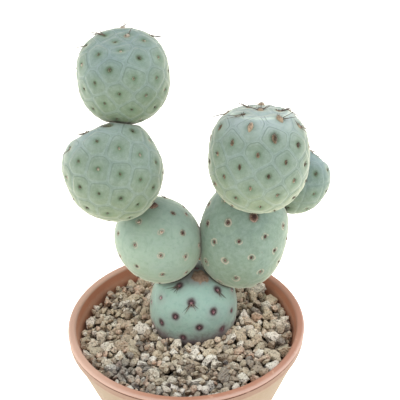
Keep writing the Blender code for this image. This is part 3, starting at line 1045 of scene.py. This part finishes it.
def make_pot(material):
    """The pot's shell: up its inside, over the lip and down its outside to the foot."""
    lip_bottom = POT_HEIGHT - LIP_DEPTH
    lip_inner = RIM_RADIUS - LIP_WIDTH
    lip_outer = RIM_RADIUS - LIP_ROUND
    wall_foot = FLOOR + FLOOR_FILLET
    profile = [(0, FLOOR)]
    profile += arc((inner_wall_radius(FLOOR) - FLOOR_FILLET, wall_foot), FLOOR_FILLET, -90, -20, 4)
    for step in range(1, WALL_STEPS + 1):
        height = wall_foot + (lip_bottom - wall_foot) * step / WALL_STEPS
        profile.append((inner_wall_radius(height), height))
    profile += arc((lip_inner + LIP_ROUND, POT_HEIGHT - LIP_ROUND), LIP_ROUND, 180, 90, 6)
    profile += arc((lip_outer, POT_HEIGHT - LIP_ROUND), LIP_ROUND, 90, 0, 6)
    upper_face, lower_face = RIM_RADIUS - LIP_FACE[0], RIM_RADIUS - LIP_FACE[1]
    groove_at = POT_HEIGHT - LIP_GROOVE[0]
    profile.append((upper_face, groove_at + GROOVE_REACH[0]))
    profile.append((upper_face - LIP_GROOVE[1], groove_at))
    profile.append((lower_face, groove_at - GROOVE_REACH[1]))
    profile += arc((lower_face - LIP_EDGE, lip_bottom + LIP_EDGE), LIP_EDGE, 0, -90, 4)
    top = (RIM_RADIUS - LIP_OVERHANG - WALL_START[0], lip_bottom - WALL_START[1])
    low = (FOOT_RADIUS + FOOT_FLARE, FOOT_CHAMFER)
    for step in range(WALL_STEPS + 1):
        part = step / WALL_STEPS
        profile.append(tuple(high + (foot - high) * part for high, foot in zip(top, low)))
    profile.append((FOOT_RADIUS - FOOT_BEND[0], FOOT_BEND[1]))
    profile += [(FOOT_RADIUS - FOOT_CHAMFER, 0), (0, 0)]
    pot = turned("terracotta_pot", profile, POT_SIDES, material)
    drill_drain_holes(pot)
    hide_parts("pot")


def drill_drain_holes(pot):
    """A ring of holes through the pot's floor."""
    drills = bpy.data.collections.new("drain_drills")
    bpy.context.scene.collection.children.link(drills)
    for hole in range(DRAIN_HOLES):
        angle = math.tau * hole / DRAIN_HOLES
        spot = Vector((DRAIN_CIRCLE * math.cos(angle), DRAIN_CIRCLE * math.sin(angle), FLOOR / 2)) * MM
        mesh = bpy.data.meshes.new("drill")
        bm = bmesh.new()
        size = DRAIN_RADIUS * MM
        bmesh.ops.create_cone(
            bm,
            cap_ends=True,
            segments=DRAIN_SIDES,
            radius1=size,
            radius2=size,
            depth=3 * FLOOR * MM,
            matrix=Matrix.Translation(spot),
        )
        bm.to_mesh(mesh)
        bm.free()
        drills.objects.link(bpy.data.objects.new("drill", mesh))
    boolean = pot.modifiers.new("Drain holes", "BOOLEAN")
    boolean.operand_type = "COLLECTION"
    boolean.collection = drills
    apply_modifiers(pot)
    for drill in list(drills.objects):
        bpy.data.objects.remove(drill)
    bpy.data.collections.remove(drills)


def heap(x, y):
    """How much higher the grit lies here than at the pot's wall."""
    high, wide = MOUND
    apart = math.hypot(x - BASE.centre[0], y - BASE.centre[1])
    return high * math.exp(-((apart / wide) ** 2)) + RISE_TO_RIGHT * max(0.0, x)


def resting_height(x, y, radius, cells):
    """Where a grain that drops here comes to rest on those that lie round it."""
    cell_size = GRAIN_SIZES[2]
    column, row = int(x // cell_size), int(y // cell_size)
    height = BED_TOP + heap(x, y) + GRAIN_FOOTING * radius
    for near_column in (column - 1, column, column + 1):
        for near_row in (row - 1, row, row + 1):
            for other_x, other_y, other_height, other_radius in cells.get((near_column, near_row), ()):
                span = (radius + other_radius) * GRAIN_PACKING
                flat = (x - other_x) ** 2 + (y - other_y) ** 2
                if flat < span * span:
                    height = max(height, other_height + math.sqrt(span * span - flat))
    return height


def settled_grains(rng):
    """Grains dropped one by one onto those below, each at the lowest of a few places: (x, y, z, radius)."""
    finest, middling, coarsest = GRAIN_SIZES
    fines = [rng.uniform(finest, middling) for _ in range(FINE_GRAINS)]
    common = middling + COMMON_GRAIN
    coarse = [rng.triangular(middling, coarsest, common) for _ in range(COARSE_GRAINS)]
    first = int(FINE_GRAINS * FIRST_FINES)
    widest = inner_wall_radius(BED_TOP + GRAIN_LAYER)
    near, more_by_size = GRAIN_TO_BASE
    grains = []
    cells = {}
    for size in fines[:first] + coarse + fines[first:]:
        radius = size / 2
        best = None
        for _ in range(GRAIN_TRIES):
            out = (widest - GRAIN_TO_WALL * radius) * math.sqrt(rng.random())
            angle = rng.uniform(0, math.tau)
            x, y = out * math.cos(angle), out * math.sin(angle)
            z = resting_height(x, y, radius, cells)
            closest = BASE.radius + near + more_by_size * radius
            too_near = math.dist((x, y, z), BASE.centre) < closest
            too_wide = out + GRAIN_TO_WALL * radius > inner_wall_radius(z)
            if not too_near and not too_wide and (best is None or z < best[2]):
                best = (x, y, z, radius)
        if best and best[2] + radius < GRAIN_CEILING + heap(best[0], best[1]):
            grains.append(best)
            cells.setdefault((int(best[0] // coarsest), int(best[1] // coarsest)), []).append(best)
    return grains


def grain_shape(ways, rng):
    """A broken grain: a ball cut by a few random planes, then roughened and stretched."""
    reach = np.full(len(ways), GRAIN_BLANK)
    for _ in range(GRAIN_CUTS):
        normal = np.array([rng.gauss(0, 1) for _ in range(3)])
        normal /= np.linalg.norm(normal)
        facing = np.maximum(ways @ normal, 0.05)
        reach = np.minimum(reach, rng.uniform(*GRAIN_CUT_AT) / facing)
    shift = np.array([rng.uniform(0, 9) for _ in range(3)])
    broad = np.sin(ways @ [7.1, 3.3, 5.7] + shift[0]) * np.sin(ways @ [-4.2, 6.8, 2.9] + shift[1])
    fine = np.sin(ways @ [21.0, 13.0, -16.0] + shift[2]) * np.sin(ways @ [-15.0, 18.0, 19.0] + shift[0])
    rough = 1 + GRAIN_ROUGHNESS[0] * broad + GRAIN_ROUGHNESS[1] * fine
    stretch = [rng.uniform(*span) for span in GRAIN_STRETCH]
    return ways * (reach * rough)[:, None] * stretch


def make_grains(material):
    """The loose pumice, in one piece of coarse grains and one of fine ones."""
    rng = random.Random(GRIT_SEED)
    large_ball, large_faces = ball(3)
    small_ball, small_faces = ball(2)
    coarse_shapes = [grain_shape(large_ball, rng) for _ in range(COARSE_SHAPES)]
    fine_shapes = [grain_shape(small_ball, rng) for _ in range(FINE_SHAPES)]
    coarse, fine = Pile(), Pile()
    for x, y, z, radius in settled_grains(rng):
        turn = Matrix.Rotation(rng.uniform(0, math.tau), 3, "Z")
        for axis in "XY":
            turn = turn @ Matrix.Rotation(rng.gauss(0, GRAIN_TILT), 3, axis)
        is_coarse = radius * 2 > GRAIN_SIZES[1]
        shape = rng.choice(coarse_shapes if is_coarse else fine_shapes)
        points = (shape * radius * GRAIN_SWELL) @ np.array(turn).T + [x, y, z]
        wall = inner_wall_radius(points[:, 2]) - TOUCH_GAP
        points[:, :2] *= np.minimum(1, wall / np.hypot(points[:, 0], points[:, 1]))[:, None]
        pile, faces = (coarse, large_faces) if is_coarse else (fine, small_faces)
        pile.add(points, faces, tone=rng.random())
    coarse.piece("coarse_pumice", material, "pumice_grit", smooth=False)
    fine.piece("fine_pumice", material, "pumice_grit", smooth=False)


def make_bed(material):
    """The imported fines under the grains, down to the pot's floor, their top heaped as the grains are."""
    foot = FLOOR + TOUCH_GAP
    profile = [(out, BED_TOP) for out in BED_RINGS]
    profile.append((inner_wall_radius(BED_TOP) - TOUCH_GAP, BED_TOP))
    profile += [(inner_wall_radius(foot) - TOUCH_GAP, foot), (0, foot)]
    bed = turned("grit_bed", profile, BED_SIDES, material)
    for vert in bed.data.vertices:
        if vert.co.z > (BED_TOP - BED_SUNK) * MM:
            vert.co.z += (heap(vert.co.x / MM, vert.co.y / MM) - BED_SUNK) * MM
    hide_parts("potting_grit")


# Looks of the skins, by age and place

YOUNG = {
    "glow": 0.12,
    "bloom": 0.9,
    "high": (119, 136, 123),
    "low": (118, 132, 96),
    "patch": (127, 144, 119),
    "bloom_colour": (166, 180, 172),
    "crown_colour": (160, 178, 184),
    "crown_from": 0.42,
    "crown_pale": 0.65,
    "cool": (118, 142, 146),
    "dished": 0.0,
    "band": (150, 166, 170),
    "line": (92, 112, 100),
    "net": 1.0,
    "dish_size": 5.2,
    "dish": 0.4,
    "dish_colour": (104, 124, 100),
    "pit_size": 3.4,
    "pit": 0.74,
    "pit_colour": (88, 114, 82),
    "halo_size": 1.5,
    "halo_lift": -0.15,
    "halo": 0.7,
    "halo_colour": (76, 92, 66),
    "core_size": 0.7,
    "core_colour": (52, 44, 34),
    "ring_at": 2.0,
    "ring": 0.0,
    "ring_colour": (180, 186, 160),
    "blush_top": -0.75,
    "blush": 0.3,
    "blush_colour": (170, 182, 136),
    "scars": [],
    "tubercle": 0.24,
    "groove": 0.12,
    "pit_depth": 0.55,
    "pit_width": 2.1,
    "chin": 0.12,
    "crown_dip": 0.8,
    "cushion": (1.3, 1.6, 0.4),
    "pale_rim": 0.5,
    "wool": 1.9,
    "fade": 0.3,
    "bristles": 8,
    "bristle_length": 1.2,
    "bristle_lift": 0.35,
    "spine_length": (6.0, 9.0),
    "spine_tilt": 24,
    "spine_thick": 0.25,
}

# The right top segment has a dished crown, taller areoles and fainter pits
OCHRE = {
    **YOUNG,
    "crown_colour": (176, 190, 192),
    "crown_pale": 0.9,
    "spine_length": (7.0, 10.0),
    "dished": 1.0,
    "crown_dip": 1.1,
    "cushion": (2.0, 3.7, 0.6),
    "wool": 1.5,
    "fade": 0.65,
    "bristles": 13,
    "bristle_length": 1.8,
    "low": (137, 150, 116),
    "pit": 0.5,
    "halo_size": 1.7,
    "halo": 0.6,
}

# The topmost segment on the left is a darker copy of the young skin, painted shade, and bluer at its crown
CREST = {
    **YOUNG,
    "high": (114, 132, 122),
    "low": (111, 126, 89),
    "patch": (122, 140, 116),
    "crown_colour": (130, 152, 162),
    "crown_pale": 0.3,
    "spine_length": (7.5, 10.5),
    "spine_thick": 0.28,
}

# Old skin is smooth and nearly without a net, with a pale ring round each areole
OLD = {
    **YOUNG,
    "high": (123, 144, 131),
    "low": (125, 144, 117),
    "patch": (138, 158, 137),
    "net": 0.14,
    "crown_pale": 0.2,
    "cool": (128, 156, 158),
    "dish": 0.12,
    "pit_size": 3.0,
    "pit": 0.4,
    "pit_colour": (106, 122, 94),
    "halo_size": 1.7,
    "halo": 0.75,
    "halo_colour": (92, 74, 60),
    "core_size": 1.0,
    "core_colour": (44, 26, 26),
    "ring_at": 1.6,
    "ring": 0.7,
    "ring_colour": (190, 176, 158),
    "tubercle": 0.12,
    "groove": 0.05,
    "pit_depth": 0.3,
    "pit_width": 1.6,
    "crown_dip": 0.3,
    "cushion": (1.7, 2.1, 0.5),
    "pale_rim": 1.0,
    "wool": 2.5,
    "bristle_length": 1.1,
}

# The left low segment is the palest: a lighter copy of the old skin, partly its own paler colour and partly
# painted light
PALE = {
    **OLD,
    "high": (147, 168, 151),
    "low": (147, 165, 139),
    "patch": (161, 182, 159),
}

# The back segment is darker and its net fainter
SHADED = {
    **YOUNG,
    "high": (104, 126, 122),
    "low": (122, 136, 104),
    "patch": (112, 134, 120),
    "bloom": 0.6,
    "net": 0.5,
    "pit": 0.6,
}

# The base is the bluest, with maroon halos, a purple foot deepened by painted shade underneath, and a scar
# at its crown; its pale skin is partly painted light
FOOT = {
    **OLD,
    # Paler than the old skin, partly its own colour and partly painted light
    "high": (156, 187, 174),
    "low": (140, 169, 154),
    "patch": (164, 196, 182),
    "net": 0.08,
    "dish_size": 5.5,
    "dish": 0.3,
    "dish_colour": (138, 118, 124),
    "halo_size": 2.1,
    "halo_lift": -0.12,
    "halo": 0.92,
    "halo_colour": (70, 30, 44),
    "core_size": 1.3,
    "core_colour": (46, 10, 24),
    "crown_colour": (140, 118, 124),
    "crown_from": 0.84,
    "crown_pale": 0.7,
    "ring": 0.0,
    "blush_top": 0.1,
    "blush": 0.92,
    "blush_colour": (98, 66, 78),
    "cushion": (1.5, 2.0, 0.5),
    "pale_rim": -0.9,
    "spine_length": (5.0, 7.5),
    "spine_tilt": 14,
    "spine_thick": 0.3,
    "scars": [((7.7, 6.4, 97.2), 5.2)],
}


# Felts, from their dark side to their pale rim
FELTS = {
    "grey_felt": ((60, 66, 46), (112, 114, 90), (196, 180, 164)),
    "ochre_felt": ((62, 54, 42), (126, 106, 84), (178, 156, 132)),
    "maroon_felt": ((62, 40, 36), (120, 94, 80), (198, 178, 160)),
    "pink_felt": ((120, 74, 84), (176, 132, 138), (222, 200, 200)),
}

# Each segment's look, skin, felt and slot
DRESS = {
    BASE: (FOOT, "foot_skin", "pink_felt", "cactus_skin_low"),
    LEFT_LOW: (PALE, "pale_skin", "maroon_felt", "cactus_skin_low"),
    RIGHT_LOW: (OLD, "old_skin", "maroon_felt", "cactus_skin_low"),
    LEFT_MID: (YOUNG, "young_skin", "grey_felt", "cactus_skin"),
    LEFT_TOP: (CREST, "crest_skin", "grey_felt", "cactus_skin"),
    RIGHT_TOP: (OCHRE, "young_skin_with_ochre_areoles", "ochre_felt", "cactus_skin"),
    RIGHT_BACK: (SHADED, "shaded_skin", "grey_felt", "cactus_skin"),
}


def make_plant():
    """Every segment's skin, areoles, bristles and spines, from the base up."""
    felts = {name: felt_material(name, *colours) for name, colours in FELTS.items()}
    horn = needle_material("dark_horn", (84, 66, 56), (36, 32, 32))
    rng = random.Random(PLANT_SEED)
    for segment, (look, skin, felt, slot) in DRESS.items():
        make_skin(segment, look, skin_material(skin, look), slot, rng)
        make_areoles(segment, look, felts[felt], horn, slot, rng)


# Studio


# Where each soft light stands, in metres, its size, its power and its colour
LIGHTS_AIM = (0, 0, 0.12)
SOFTBOXES = {
    "softbox_above": ((-0.1, -0.1, 1.1), 0.7, 2.6, (0.94, 0.98, 1.0)),
    "softbox_left": ((-1.0, 0.5, 0.5), 0.8, 3.0, (1.0, 1.0, 1.0)),
    "softbox_front": ((-0.8, -0.5, 0.7), 0.8, 2.5, (1.0, 0.95, 0.88)),
    "softbox_right": ((0.8, 0.2, 0.8), 0.8, 4.9, (1.0, 1.0, 1.0)),
    "softbox_low": ((0.9, -0.6, 0.3), 0.6, 1.0, (1.0, 1.0, 1.0)),
}


def add_softbox(name, place, size, power, colour):
    light = bpy.data.lights.new(name, "AREA")
    light.color = colour
    light.shape = "DISK"
    light.size = size
    light.energy = power
    lamp = bpy.data.objects.new(name, light)
    lamp.location = place
    lamp.rotation_euler = (Vector(LIGHTS_AIM) - Vector(place)).to_track_quat("-Z", "Y").to_euler()
    bpy.context.scene.collection.objects.link(lamp)


def make_studio():
    """A pale floor, a white room and soft lights."""
    mesh = bpy.data.meshes.new("floor")
    bm = bmesh.new()
    bmesh.ops.create_grid(bm, x_segments=8, y_segments=8, size=6.0)
    bm.to_mesh(mesh)
    bm.free()
    floor = bpy.data.objects.new("floor", mesh)
    mesh.materials.append(floor_material())
    bpy.context.scene.collection.objects.link(floor)

    world = bpy.data.worlds.new("white_room")
    world.use_nodes = True
    sky = world.node_tree.nodes["Background"]
    sky.inputs["Color"].default_value = (0.94, 0.975, 1.0, 1)
    sky.inputs["Strength"].default_value = 0.7
    bpy.context.scene.world = world
    for name, softbox in SOFTBOXES.items():
        add_softbox(name, *softbox)
    bpy.context.scene.view_settings.view_transform = "Standard"


def make_camera():
    """The photograph's view."""
    data = bpy.data.cameras.new("camera")
    data.lens = LENS
    data.sensor_width = SENSOR
    data.sensor_fit = "HORIZONTAL"
    camera = bpy.data.objects.new("camera", data)
    yaw = Matrix.Rotation(math.radians(-CAMERA_YAW), 4, "Z")
    pitch = Matrix.Rotation(math.radians(90 - CAMERA_PITCH), 4, "X")
    roll = Matrix.Rotation(math.radians(CAMERA_ROLL), 4, "Z")
    camera.matrix_world = Matrix.Translation(Vector(CAMERA_PLACE) * MM) @ yaw @ pitch @ roll
    bpy.context.scene.collection.objects.link(camera)
    bpy.context.scene.camera = camera


make_camera()
make_studio()
make_pot(pot_material())
make_bed(bed_material())
make_grains(pumice_material())
make_plant()
roots = frame["nodes"]["roots"].data
roots.materials.clear()
roots.materials.append(root_material())
